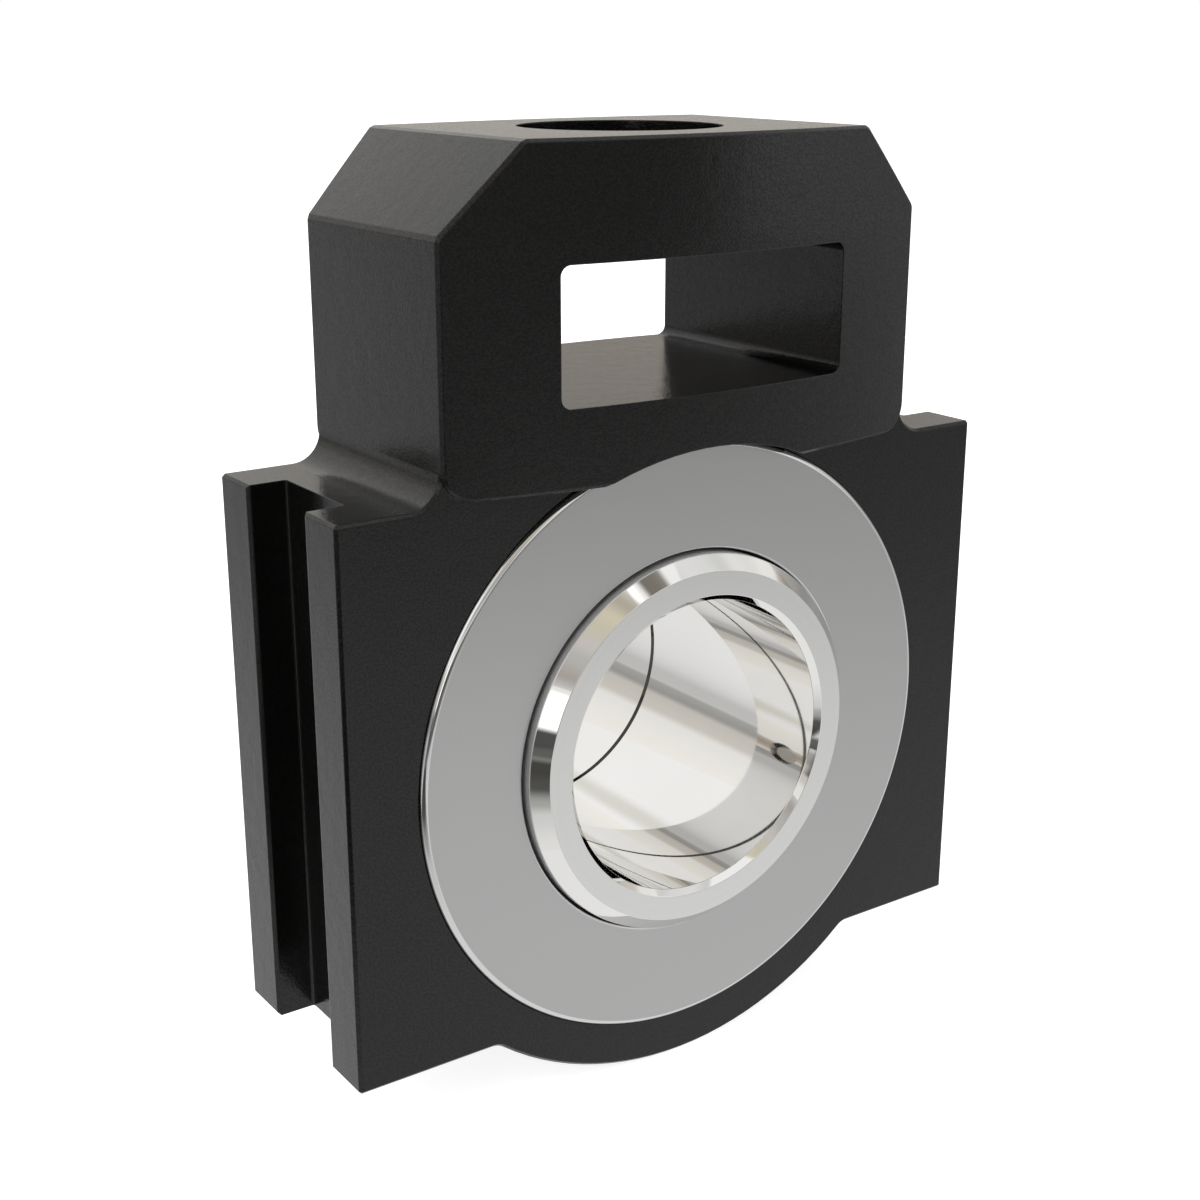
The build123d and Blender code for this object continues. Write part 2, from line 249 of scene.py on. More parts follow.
def make_rear_cover(front):
    choose(front)
    bpy.ops.object.duplicate(linked=False)
    piece = name_piece("rear_cover_disc")
    piece.rotation_euler = (0, 0, pi)
    settle(piece)
    return piece


# Inner ring: seal lands, two raceways, and an eccentric cam at the rear for the collar

def race_point(side, along):
    """Point of a raceway, from the distance along its roller."""
    reach = 2 * ROLLER_CENTRE - (SPHERE_R ** 2 - along ** 2) ** 0.5
    radius = reach * cos(ROW_TILT) - along * sin(ROW_TILT)
    return (radius, side * (reach * sin(ROW_TILT) + along * cos(ROW_TILT)), 0)


def make_inner_ring():
    steps = [RACE_END * step / RACE_STEPS for step in range(-RACE_STEPS, RACE_STEPS + 1)]
    ring = turn_body("inner_ring_turned", [
        (BORE_R, RING_REAR - SEAM_CHAMFER, 0),
        (BORE_R, RING_FRONT + BORE_CHAMFER, 0),
        (BORE_R + BORE_CHAMFER, RING_FRONT, 0),
        (LAND_R - RING_FACE_CHAMFER, RING_FRONT, 0),
        (LAND_R, RING_FRONT + RING_FACE_CHAMFER, 0),
        (LAND_R, -RIB_END, 0),
        *[race_point(-1, along) for along in reversed(steps)],
        *[race_point(1, along) for along in steps],
        (LAND_R, RIB_END, 0),
        (LAND_R, CAM_START, 0),
        (CAM_R, CAM_START, CAM_RISE),
        (CAM_R, RING_REAR - SEAM_CHAMFER, CAM_RISE),
        (CAM_R - SEAM_CHAMFER, RING_REAR, CAM_RISE),
        (BORE_R + SEAM_CHAMFER, RING_REAR, 0),
    ])
    bevel_rims(
        ring,
        RING_EDGE_BREAK,
        2,
        (BORE_R, RING_FRONT + BORE_CHAMFER),
        (BORE_R + BORE_CHAMFER, RING_FRONT),
        (LAND_R - RING_FACE_CHAMFER, RING_FRONT),
        (LAND_R, RING_FRONT + RING_FACE_CHAMFER),
        (LAND_R, RIB_END),
        (LAND_R, -RIB_END),
        (LAND_R, CAM_START),
    )
    bpy.ops.object.mode_set(mode="OBJECT")
    even_out(ring)
    return ring


# Locking collar: an eccentric recess over the cam, a screw hole and a blind hole for the drift

def drill(collar, radius, angle, start):
    """A round hole through the collar's outside, from a distance off the shaft's axis outwards."""
    end = COLLAR_R + DRILL_OVERRUN
    middle = (start + end) / 2
    turn = radians(angle)
    deselect_all()
    bpy.ops.mesh.primitive_cylinder_add(
        vertices=HOLE_SIDES,
        radius=radius,
        depth=end - start,
        location=(middle * cos(turn), SCREW_Y, middle * sin(turn)),
        rotation=(0, pi / 2 - turn, 0),
    )
    bit = name_piece("drill_bit")
    settle(bit)
    choose(collar)
    bpy.ops.object.modifier_add(type="BOOLEAN")
    cut = collar.modifiers[-1]
    cut.operation = "DIFFERENCE"
    cut.solver = "EXACT"
    cut.object = bit
    bpy.ops.object.modifier_apply(modifier=cut.name)
    bpy.data.objects.remove(bit)


def make_collar():
    """The collar. A narrow band round it holds both holes, so that they leave the rest smooth."""
    hole_room = SCREW_HOLE_R + HOLE_MARGIN
    collar = turn_body("locking_collar_turned", [
        (COLLAR_R - COLLAR_EDGE, COLLAR_FRONT, 0),
        (COLLAR_R, COLLAR_FRONT + COLLAR_EDGE, 0),
        (COLLAR_R, SCREW_Y - hole_room, 0),
        (COLLAR_R, SCREW_Y + hole_room, 0),
        (COLLAR_R, COLLAR_REAR - COLLAR_EDGE, 0),
        (COLLAR_R - COLLAR_EDGE, COLLAR_REAR, 0),
        (BORE_R + COLLAR_EDGE, COLLAR_REAR, 0),
        (BORE_R, COLLAR_REAR - COLLAR_EDGE, 0),
        (BORE_R, SCREW_Y + hole_room, 0),
        (BORE_R, SCREW_Y - hole_room, 0),
        (BORE_R, RING_REAR + SEAM_CHAMFER, 0),
        (BORE_R + SEAM_CHAMFER, RING_REAR, 0),
        (COLLAR_RECESS_R, RING_REAR, CAM_RISE),
        (COLLAR_RECESS_R, COLLAR_FRONT, CAM_RISE),
    ])
    bevel_rims(
        collar,
        COLLAR_EDGE_BREAK,
        2,
        (COLLAR_R - COLLAR_EDGE, COLLAR_FRONT),
        (COLLAR_R, COLLAR_FRONT + COLLAR_EDGE),
        (COLLAR_R, COLLAR_REAR - COLLAR_EDGE),
        (COLLAR_R - COLLAR_EDGE, COLLAR_REAR),
        (BORE_R + COLLAR_EDGE, COLLAR_REAR),
        (BORE_R, COLLAR_REAR - COLLAR_EDGE),
    )
    bpy.ops.object.mode_set(mode="OBJECT")
    drill(collar, SCREW_HOLE_R, SCREW_ANGLE, BORE_R - DRILL_OVERRUN)
    drill(collar, DRIFT_HOLE_R, DRIFT_ANGLE, COLLAR_R - DRIFT_HOLE_DEPTH)
    even_out(collar)
    return collar


# Node helpers

VALUE_SOCKETS = (2, 3)
COLOUR_SOCKETS = (6, 7)
VALUE_RESULT = 0
COLOUR_RESULT = 2
FLOAT = "NodeSocketFloat"
VECTOR = "NodeSocketVector"


def empty_tree(owner):
    owner.use_nodes = True
    owner.node_tree.nodes.clear()
    return owner.node_tree


def node(tree, kind, **settings):
    made = tree.nodes.new(kind)
    for key, value in settings.items():
        setattr(made, key, value)
    return made


def link(tree, source, target):
    tree.links.new(source, target)


def feed(tree, value, socket):
    """Gives a socket either another node's output or a number of its own."""
    if hasattr(value, "links"):
        link(tree, value, socket)
    else:
        socket.default_value = value


def maths(tree, operation, *values):
    made = node(tree, "ShaderNodeMath", operation=operation)
    for value, socket in zip(values, made.inputs):
        feed(tree, value, socket)
    return made.outputs["Value"]


def remap(tree, value, low, high, to_low, to_high):
    made = node(tree, "ShaderNodeMapRange", interpolation_type="SMOOTHSTEP")
    link(tree, value, made.inputs["Value"])
    limits = {"From Min": low, "From Max": high, "To Min": to_low, "To Max": to_high}
    for key, limit in limits.items():
        feed(tree, limit, made.inputs[key])
    return made.outputs["Result"]


def noise(tree, vector, scale, detail, roughness):
    made = node(tree, "ShaderNodeTexNoise")
    link(tree, vector, made.inputs["Vector"])
    feed(tree, scale, made.inputs["Scale"])
    made.inputs["Detail"].default_value = detail
    made.inputs["Roughness"].default_value = roughness
    return made.outputs["Fac"]


def blend_values(tree, mask, first, second):
    made = node(tree, "ShaderNodeMix", data_type="FLOAT")
    feed(tree, mask, made.inputs["Factor"])
    for value, socket in zip((first, second), VALUE_SOCKETS):
        feed(tree, value, made.inputs[socket])
    return made.outputs[VALUE_RESULT]


def blend_colours(tree, mask, first, second):
    """Each colour is three numbers or another node's output."""
    made = node(tree, "ShaderNodeMix", data_type="RGBA")
    feed(tree, mask, made.inputs["Factor"])
    for colour, socket in zip((first, second), COLOUR_SOCKETS):
        shown = (*colour, 1) if isinstance(colour, tuple) else colour
        feed(tree, shown, made.inputs[socket])
    return made.outputs[COLOUR_RESULT]


def object_place(tree):
    return node(tree, "ShaderNodeTexCoord").outputs["Object"]


def split(tree, vector):
    made = node(tree, "ShaderNodeSeparateXYZ")
    link(tree, vector, made.inputs["Vector"])
    return made.outputs


def axis_distance(tree, place):
    """Distance from the shaft axis of a place that is split into X, Y and Z."""
    across = maths(tree, "POWER", place["X"], 2.0)
    up = maths(tree, "POWER", place["Z"], 2.0)
    return maths(tree, "SQRT", maths(tree, "ADD", across, up))


def effect(name, inputs, outputs):
    """A shader node group with named sockets. Each input is given as its name, kind and first value."""
    tree = bpy.data.node_groups.new(name, "ShaderNodeTree")
    for socket_name, kind, value in inputs:
        socket = tree.interface.new_socket(socket_name, in_out="INPUT", socket_type=kind)
        if value is not None:
            socket.default_value = value
    for socket_name, kind in outputs:
        tree.interface.new_socket(socket_name, in_out="OUTPUT", socket_type=kind)
    return tree, node(tree, "NodeGroupInput"), node(tree, "NodeGroupOutput")


def add_relief(tree, given, relief, out):
    """Bump with the Height and the Strength that a group is given, over the normal that it is given."""
    bump = node(tree, "ShaderNodeBump")
    link(tree, given.outputs["Strength"], bump.inputs["Strength"])
    link(tree, given.outputs["Height"], bump.inputs["Distance"])
    link(tree, relief, bump.inputs["Height"])
    link(tree, given.outputs["Normal"], bump.inputs["Normal"])
    link(tree, bump.outputs["Normal"], out.inputs["Normal"])


# Effects that several materials share

WAVE_SCALE = 0.12
WAVE_HEIGHT = 1.4
PATCH_SCALE = 45.0


def build_edge_rounding():
    """Edges that catch the light as slightly broken edges do."""
    tree, given, out = effect("edge_rounding", [("Radius", FLOAT, 1.0 * MM)], [("Normal", VECTOR)])
    bevel = node(tree, "ShaderNodeBevel", samples=8)
    link(tree, given.outputs["Radius"], bevel.inputs["Radius"])
    link(tree, bevel.outputs["Normal"], out.inputs["Normal"])
    return tree


def build_surface_grain():
    """Fine even grain, as in sprayed paint or moulded rubber, with slow patches beside it."""
    tree, given, out = effect(
        "surface_grain",
        [
            ("Size", FLOAT, 3000.0),
            ("Height", FLOAT, 0.01 * MM),
            ("Strength", FLOAT, 0.3),
            ("Normal", VECTOR, None),
        ],
        [("Normal", VECTOR), ("Grain", FLOAT), ("Patches", FLOAT)],
    )
    place = object_place(tree)
    wave_size = maths(tree, "MULTIPLY", given.outputs["Size"], WAVE_SCALE)
    fine = noise(tree, place, given.outputs["Size"], detail=3.0, roughness=0.6)
    waves = noise(tree, place, wave_size, detail=2.0, roughness=0.5)
    patches = noise(tree, place, PATCH_SCALE, detail=4.0, roughness=0.55)
    relief = maths(tree, "ADD", fine, maths(tree, "MULTIPLY", waves, WAVE_HEIGHT))
    add_relief(tree, given, relief, out)
    link(tree, remap(tree, fine, 0.4, 0.6, 0, 1), out.inputs["Grain"])
    link(tree, patches, out.inputs["Patches"])
    return tree


def build_turning_marks():
    """Fine rings about the shaft axis, as a lathe or a grinding wheel leaves them."""
    tree, given, out = effect(
        "turning_marks",
        [
            ("Pitch", FLOAT, 0.4 * MM),
            ("Height", FLOAT, 0.002 * MM),
            ("Strength", FLOAT, 0.3),
            ("Normal", VECTOR, None),
        ],
        [("Normal", VECTOR), ("Bands", FLOAT), ("Radius", FLOAT)],
    )
    place = split(tree, object_place(tree))
    radius = axis_distance(tree, place)
    join = node(tree, "ShaderNodeCombineXYZ")
    link(tree, maths(tree, "DIVIDE", radius, given.outputs["Pitch"]), join.inputs["X"])
    link(tree, maths(tree, "DIVIDE", place["Y"], given.outputs["Pitch"]), join.inputs["Y"])
    rings = noise(tree, join.outputs["Vector"], 1.0, detail=3.0, roughness=0.7)
    add_relief(tree, given, rings, out)
    link(tree, rings, out.inputs["Bands"])
    link(tree, radius, out.inputs["Radius"])
    return tree


def build_handling():
    """Slow patches of oil film and handling, used for small changes of shade and gloss."""
    tree, given, out = effect(
        "handling",
        [("Size", FLOAT, 40.0), ("Low", FLOAT, 0.0), ("High", FLOAT, 1.0)],
        [("Value", FLOAT), ("Patches", FLOAT)],
    )
    patches = noise(tree, object_place(tree), given.outputs["Size"], detail=5.0, roughness=0.6)
    value = remap(tree, patches, 0.35, 0.65, given.outputs["Low"], given.outputs["High"])
    link(tree, value, out.inputs["Value"])
    link(tree, patches, out.inputs["Patches"])
    return tree


def build_steel_zones():
    """Masks for the inner ring and its collar: end faces, land, outside, and the seam between them, where
    shade is painted.
    """
    outputs = [("Ends", FLOAT), ("Land", FLOAT), ("Outside", FLOAT), ("Seam", FLOAT)]
    tree, given, out = effect("steel_zones", [], outputs)
    coordinates = node(tree, "ShaderNodeTexCoord")
    along = maths(tree, "ABSOLUTE", split(tree, coordinates.outputs["Normal"])["Y"])
    place = split(tree, coordinates.outputs["Object"])
    radius = axis_distance(tree, place)
    land = remap(tree, radius, LAND_R - 0.2 * MM, LAND_R - 0.1 * MM, 0, 1)
    outside = remap(tree, radius, BORE_R + BORE_CHAMFER, BORE_R + 1.5 * MM, 0, 1)
    # The seam between ring and collar in the bore, where shade is painted
    from_seam = maths(tree, "ABSOLUTE", maths(tree, "SUBTRACT", place["Y"], RING_REAR))
    near_seam = remap(tree, from_seam, SEAM_CHAMFER, SEAM_CHAMFER + ZONE_BLEND, 1, 0)
    in_bore = remap(tree, radius, BORE_R + SEAM_CHAMFER, BORE_R + 2 * SEAM_CHAMFER, 1, 0)
    link(tree, remap(tree, along, 0.93, 0.98, 0, 1), out.inputs["Ends"])
    link(tree, land, out.inputs["Land"])
    link(tree, outside, out.inputs["Outside"])
    link(tree, maths(tree, "MULTIPLY", near_seam, in_bore), out.inputs["Seam"])
    return tree


EDGE_ROUNDING = build_edge_rounding()
SURFACE_GRAIN = build_surface_grain()
TURNING_MARKS = build_turning_marks()
HANDLING = build_handling()
STEEL_ZONES = build_steel_zones()


def use(tree, group, **values):
    """Places a group in a material. Each value is named for the socket that it goes to."""
    made = node(tree, "ShaderNodeGroup", node_tree=group)
    for key, value in values.items():
        feed(tree, value, made.inputs[key.capitalize()])
    return made


def rounded_edges(tree, radius):
    return use(tree, EDGE_ROUNDING, radius=radius).outputs["Normal"]


# Materials

RIM_ROUGHNESS = 0.09
LAND_ROUGHNESS = 0.50
FINE_SHARE = 0.6


def start_material(name, metallic=0.0, specular=0.5):
    material = bpy.data.materials.new(name)
    tree = empty_tree(material)
    shader = node(tree, "ShaderNodeBsdfPrincipled")
    shader.inputs["Metallic"].default_value = metallic
    shader.inputs["IOR"].default_value = 1.5
    shader.inputs["Specular IOR Level"].default_value = specular
    output = node(tree, "ShaderNodeOutputMaterial")
    link(tree, shader.outputs["BSDF"], output.inputs["Surface"])
    return material, tree, shader


def finish_shader(tree, shader, colour, roughness, normal):
    link(tree, colour, shader.inputs["Base Color"])
    link(tree, roughness, shader.inputs["Roughness"])
    link(tree, normal, shader.inputs["Normal"])


def gloss_black_enamel():
    """Black enamel whose grain shows in its shade, in its relief and in the gloss of its top film."""
    material, tree, shader = start_material("gloss_black_enamel", specular=0.31)
    edges = rounded_edges(tree, 0.35 * MM)
    grain = use(tree, SURFACE_GRAIN, size=2100.0, height=0.10 * MM, strength=0.5, normal=edges)
    touched = use(tree, HANDLING, size=35.0, low=0.05, high=0.08)
    slow = blend_colours(tree, grain.outputs["Patches"], (0.0026, 0.0026, 0.0023), (0.0054, 0.0053, 0.0049))
    fine = blend_colours(tree, grain.outputs["Grain"], (0.0032, 0.0032, 0.0029), (0.0070, 0.0069, 0.0065))
    colour = blend_colours(tree, FINE_SHARE, slow, fine)
    finish_shader(tree, shader, colour, touched.outputs["Value"], grain.outputs["Normal"])
    film = remap(tree, grain.outputs["Grain"], 0, 1, 0.02, 0.18)
    link(tree, film, shader.inputs["Coat Weight"])
    shader.inputs["Coat Roughness"].default_value = 0.06
    return material


def turned_metal(name, dull, bright, roughness, pitch, height, edge=None, band=None):
    """Turned metal. With a band, what lies nearer the axis or farther off than its two radii is polished."""
    material, tree, shader = start_material(name, metallic=1.0)
    marks = use(tree, TURNING_MARKS, pitch=pitch, height=height, strength=0.3)
    if edge:
        link(tree, rounded_edges(tree, edge), marks.inputs["Normal"])
    smooth, rough = roughness
    touched = use(tree, HANDLING, size=30.0, low=smooth, high=rough)
    mottle = maths(tree, "ADD", marks.outputs["Bands"], touched.outputs["Patches"])
    colour = blend_colours(tree, maths(tree, "MULTIPLY", mottle, 0.5), dull, bright)
    fineness = touched.outputs["Value"]
    if band:
        inner, outer = band
        within = remap(tree, marks.outputs["Radius"], inner, inner + ZONE_BLEND, 1, 0)
        beyond = remap(tree, marks.outputs["Radius"], outer - ZONE_BLEND, outer, 0, 1)
        polished = maths(tree, "MAXIMUM", within, beyond)
        shine = blend_colours(tree, touched.outputs["Patches"], (0.66, 0.66, 0.66), (0.72, 0.72, 0.715))
        colour = blend_colours(tree, polished, colour, shine)
        fineness = blend_values(tree, polished, fineness, RIM_ROUGHNESS)
    finish_shader(tree, shader, colour, fineness, marks.outputs["Normal"])
    return material


def polished_steel(name, satin_zone, dull, bright, satin_roughness, edge=None):
    """Polished steel with satin ends or outside and a ground land. The seam in the bore is darkened with
    painted shade.
    """
    material, tree, shader = start_material(name, metallic=1.0)
    marks = use(tree, TURNING_MARKS, pitch=0.25 * MM, height=0.0004 * MM, strength=0.25)
    if edge:
        link(tree, rounded_edges(tree, edge), marks.inputs["Normal"])
    zones = use(tree, STEEL_ZONES)
    satin = zones.outputs[satin_zone]
    land = zones.outputs["Land"]
    touched = use(tree, HANDLING, size=28.0, low=0.025, high=0.05)
    polished = blend_colours(tree, touched.outputs["Patches"], (0.80, 0.79, 0.77), (0.88, 0.875, 0.86))
    matt = blend_colours(tree, marks.outputs["Bands"], dull, bright)
    ground = blend_colours(tree, marks.outputs["Bands"], (0.74, 0.74, 0.75), (0.82, 0.82, 0.83))
    # Painted shade: a dark colour for the seam between ring and collar, where shade falls in the groove
    painted_seam_shade = blend_colours(tree, touched.outputs["Patches"], (0.05, 0.049, 0.046), (0.10, 0.098, 0.092))
    clean = blend_colours(tree, land, blend_colours(tree, satin, polished, matt), ground)
    colour = blend_colours(tree, zones.outputs["Seam"], clean, painted_seam_shade)
    fineness = blend_values(tree, satin, touched.outputs["Value"], satin_roughness)
    fineness = blend_values(tree, land, fineness, LAND_ROUGHNESS)
    finish_shader(tree, shader, colour, fineness, marks.outputs["Normal"])
    return material


def nitrile_rubber():
    material, tree, shader = start_material("nitrile_rubber", specular=0.4)
    facing = node(tree, "ShaderNodeNewGeometry").outputs["Normal"]
    grain = use(tree, SURFACE_GRAIN, size=1800.0, height=0.03 * MM, strength=0.4, normal=facing)
    touched = use(tree, HANDLING, size=60.0, low=0.45, high=0.62)
    colour = blend_colours(tree, touched.outputs["Patches"], (0.012, 0.012, 0.013), (0.03, 0.029, 0.028))
    finish_shader(tree, shader, colour, touched.outputs["Value"], grain.outputs["Normal"])
    return material


MATERIALS = {
    "housing": gloss_black_enamel(),
    "cover": turned_metal(
        "satin_cover",
        dull=(0.437, 0.437, 0.437),
        bright=(0.483, 0.483, 0.478),
        roughness=(0.28, 0.32),
        pitch=0.35 * MM,
        height=0.0012 * MM,
        band=(SATIN_START, SATIN_END),
    ),
    "ring": polished_steel(
        "polished_ring",
        satin_zone="Ends",
        dull=(0.67, 0.67, 0.665),
        bright=(0.73, 0.73, 0.72),
        satin_roughness=0.27,
    ),
    "race": turned_metal(
        "ground_race",
        dull=(0.60, 0.60, 0.60),
        bright=(0.68, 0.68, 0.67),
        roughness=(0.16, 0.24),
        pitch=0.3 * MM,
        height=0.001 * MM,
    ),
    "roller": turned_metal(
        "lapped_roller",
        dull=(0.66, 0.66, 0.67),
        bright=(0.74, 0.74, 0.74),
        roughness=(0.10, 0.16),
        pitch=0.3 * MM,
        height=0.0005 * MM,
    ),
    "cage": turned_metal(
        "brass_cage",
        dull=(0.62, 0.43, 0.16),
        bright=(0.74, 0.54, 0.24),
        roughness=(0.28, 0.38),
        pitch=0.5 * MM,
        height=0.002 * MM,
        edge=0.3 * MM,
    ),
    "guide": turned_metal(
        "guide_iron",
        dull=(0.30, 0.30, 0.29),
        bright=(0.38, 0.38, 0.37),
        roughness=(0.34, 0.42),
        pitch=0.5 * MM,
        height=0.002 * MM,
        edge=0.3 * MM,
    ),
    "retainer": turned_metal(
        "pressed_retainer",
        dull=(0.50, 0.50, 0.49),
        bright=(0.58, 0.58, 0.57),
        roughness=(0.28, 0.34),
        pitch=0.6 * MM,
        height=0.001 * MM,
    ),
    "seal": nitrile_rubber(),
    "collar": polished_steel(
        "bright_collar",
        satin_zone="Outside",
        dull=(0.60, 0.595, 0.585),
        bright=(0.67, 0.665, 0.65),
        satin_roughness=0.26,
        edge=0.12 * MM,
    ),
    "screw": turned_metal(
        "plated_screw",
        dull=(0.56, 0.555, 0.54),
        bright=(0.66, 0.655, 0.64),
        roughness=(0.20, 0.27),
        pitch=0.5 * MM,
        height=0.002 * MM,
        edge=0.3 * MM,
    ),
    "fitting": turned_metal(
        "plated_fitting",
        dull=(0.62, 0.58, 0.48),
        bright=(0.72, 0.68, 0.58),
        roughness=(0.20, 0.27),
        pitch=0.4 * MM,
        height=0.001 * MM,
        edge=0.3 * MM,
    ),
}

for cad_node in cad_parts.values():
    for held in cad_node.material_slots:
        slot_name = held.material.name.split(".")[0]
        held.material = MATERIALS[slot_name]


def dress(piece, slot_name, body, *stands_for):
    piece.data.materials.clear()
    piece.data.materials.append(MATERIALS[slot_name])
    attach(piece, body)
    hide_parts(*stands_for)


front_cover_disc = make_front_cover()
rear_cover_disc = make_rear_cover(front_cover_disc)
dress(front_cover_disc, "cover", "housing", "front_cover")
dress(rear_cover_disc, "cover", "housing", "rear_cover")
dress(make_inner_ring(), "ring", "shaft_parts", "inner_ring")
dress(make_collar(), "collar", "shaft_parts", "locking_collar")


# Studio: a pale floor, soft lamps, and cards, mats and a horizon that only gloss and metal see

WHITE = (1.0, 1.0, 1.0, 1.0)


def emission(tree, strength=1.0, colour=WHITE):
    made = node(tree, "ShaderNodeEmission")
    feed(tree, strength, made.inputs["Strength"])
    feed(tree, colour, made.inputs["Color"])
    return made.outputs["Emission"]


def background(tree, strength):
    made = node(tree, "ShaderNodeBackground")
    made.inputs["Color"].default_value = WHITE
    made.inputs["Strength"].default_value = strength
    return made.outputs["Background"]


def mix_shaders(tree, mask, first, second):
    made = node(tree, "ShaderNodeMixShader")
    link(tree, mask, made.inputs["Fac"])
    link(tree, first, made.inputs[1])
    link(tree, second, made.inputs[2])
    return made.outputs["Shader"]


def make_world(level):
    """Even light all round, of one level, which shows white to the camera and in gloss or glass."""
    world = bpy.data.worlds.new("studio_surroundings")
    bpy.context.scene.world = world
    tree = empty_tree(world)
    path = node(tree, "ShaderNodeLightPath").outputs
    seen = maths(tree, "MAXIMUM", path["Is Camera Ray"], path["Is Glossy Ray"])
    white_rays = maths(tree, "MAXIMUM", seen, path["Is Transmission Ray"])
    output = node(tree, "ShaderNodeOutputWorld")
    surroundings = mix_shaders(tree, white_rays, background(tree, level), background(tree, 1.0))
    link(tree, surroundings, output.inputs["Surface"])


def start_studio_material(name):
    material = bpy.data.materials.new(name)
    tree = empty_tree(material)
    return material, tree, node(tree, "ShaderNodeOutputMaterial")


def make_floor(glow, near, far):
    """Pale floor, white to the camera, with the object's shadow. Reflections see it greyer far off."""
    deselect_all()
    bpy.ops.mesh.primitive_plane_add(size=16, location=(0, 0, FLOOR_Z))
    floor = name_piece("studio_floor")
    material, tree, output = start_studio_material("pale_floor")
    diffuse = node(tree, "ShaderNodeBsdfDiffuse")
    diffuse.inputs["Color"].default_value = (0.8, 0.8, 0.8, 1)
    lit = node(tree, "ShaderNodeAddShader")
    link(tree, diffuse.outputs["BSDF"], lit.inputs[0])
    link(tree, emission(tree, glow), lit.inputs[1])
    distance = node(tree, "ShaderNodeVectorMath", operation="LENGTH")
    link(tree, object_place(tree), distance.inputs[0])
    mirrored = emission(tree, remap(tree, distance.outputs["Value"], 0.05, 0.60, near, far))
    path = node(tree, "ShaderNodeLightPath").outputs
    as_seen = mix_shaders(tree, path["Is Camera Ray"], diffuse.outputs["BSDF"], lit.outputs["Shader"])
    gloss = maths(tree, "MAXIMUM", path["Is Glossy Ray"], path["Is Transmission Ray"])
    link(tree, mix_shaders(tree, gloss, as_seen, mirrored), output.inputs["Surface"])
    floor.data.materials.append(material)
    settle(floor)


def aim(thing, target):
    direction = Vector(target) - thing.location
    thing.rotation_euler = direction.to_track_quat("-Z", "Y").to_euler()


def reflect_only(panel):
    """Seen in gloss and metal alone, so that it shapes reflections and leaves the light as it is."""
    panel.visible_camera = False
    panel.visible_diffuse = False
    panel.visible_transmission = False
    panel.visible_shadow = False


def colour_ramp(tree, value, stops):
    made = node(tree, "ShaderNodeValToRGB")
    link(tree, value, made.inputs["Fac"])
    ramp = made.color_ramp
    ramp.interpolation = "EASE"
    while len(ramp.elements) < len(stops):
        ramp.elements.new(0.5)
    for element, (position, colour) in zip(ramp.elements, stops):
        element.position = position
        element.color = (*colour, 1)
    return made.outputs["Color"]


def plain(colour):
    return [(0.0, colour), (1.0, colour)]


def faded(tree, value, border):
    """0 at both ends of a card, and 1 once past its border."""
    from_middle = maths(tree, "ABSOLUTE", maths(tree, "SUBTRACT", value, 0.5))
    return remap(tree, from_middle, 0.5 - border, 0.5, 1, 0)


def card_material(name, strength, stops, along, border):
    """Shades that run along a card (X) or up it (Y), with borders that fade out."""
    material, tree, output = start_studio_material(name)
    place = split(tree, node(tree, "ShaderNodeTexCoord").outputs["UV"])
    glow = emission(tree, strength, colour_ramp(tree, place[along], stops))
    side_border, end_border = border
    sides = faded(tree, place["X"], side_border)
    ends = faded(tree, place["Y"], end_border)
    clear = node(tree, "ShaderNodeBsdfTransparent").outputs["BSDF"]
    shown = mix_shaders(tree, maths(tree, "MULTIPLY", sides, ends), clear, glow)
    link(tree, shown, output.inputs["Surface"])
    return material


def make_card(
    name, azimuth, distance, middle, width, height, strength, stops, border, along="X", look_at=None
):
    """A card, at an azimuth from +X towards +Y. It is upright, or looks at a height on the middle line."""
    turn = radians(azimuth)
    place = (distance * cos(turn), distance * sin(turn), middle)
    deselect_all()
    bpy.ops.mesh.primitive_plane_add(size=1, location=place)
    card = name_piece(name)
    card.scale = (width, height, 1)
    aim(card, (0, 0, middle if look_at is None else look_at))
    card.data.materials.append(card_material(name, strength, stops, along, border))
    settle(card)
    reflect_only(card)


def make_mat(name, azimuth, start, length, width, height, stops, border):
    """A mat just over the floor that runs outwards from the object."""
    turn = radians(azimuth)
    reach = start + length / 2
    place = (reach * cos(turn), reach * sin(turn), FLOOR_Z + height)
    deselect_all()
    bpy.ops.mesh.primitive_plane_add(size=1, location=place)
    mat = name_piece(name)
    mat.scale = (length, width, 1)
    mat.rotation_euler = (0, 0, turn)
    mat.data.materials.append(card_material(name, 1.0, stops, "X", border))
    settle(mat)
    reflect_only(mat)


def make_horizon(distance, stops):
    """A wall all round, darkest near the camera's height, whose shades rise to near white at its top."""
    depth = stops[-1][0] - FLOOR_Z
    deselect_all()
    bpy.ops.mesh.primitive_cylinder_add(
        vertices=HORIZON_SIDES,
        radius=distance,
        depth=depth,
        end_fill_type="NOTHING",
        location=(0, 0, FLOOR_Z + depth / 2),
    )
    wall = name_piece("studio_horizon")
    material, tree, output = start_studio_material("studio_horizon")
    over_floor = maths(tree, "SUBTRACT", split(tree, object_place(tree))["Z"], FLOOR_Z)
    shades = [((height - FLOOR_Z) / depth, colour) for height, colour in stops]
    colour = colour_ramp(tree, maths(tree, "DIVIDE", over_floor, depth), shades)
    link(tree, emission(tree, colour=colour), output.inputs["Surface"])
    wall.data.materials.append(material)
    settle(wall)
    reflect_only(wall)


def make_softbox(name, place, target, width, height, radiance, colour):
    """A soft lamp that lights the object and isn't itself seen."""
    lamp = bpy.data.lights.new(name, "AREA")
    lamp.shape = "RECTANGLE"
    lamp.size = width
    lamp.size_y = height
    lamp.energy = radiance * pi * width * height
    lamp.color = colour
    held = bpy.data.objects.new(name, lamp)
    bpy.context.scene.collection.objects.link(held)
    held.location = place
    aim(held, target)
    held.visible_camera = False
    held.visible_glossy = False


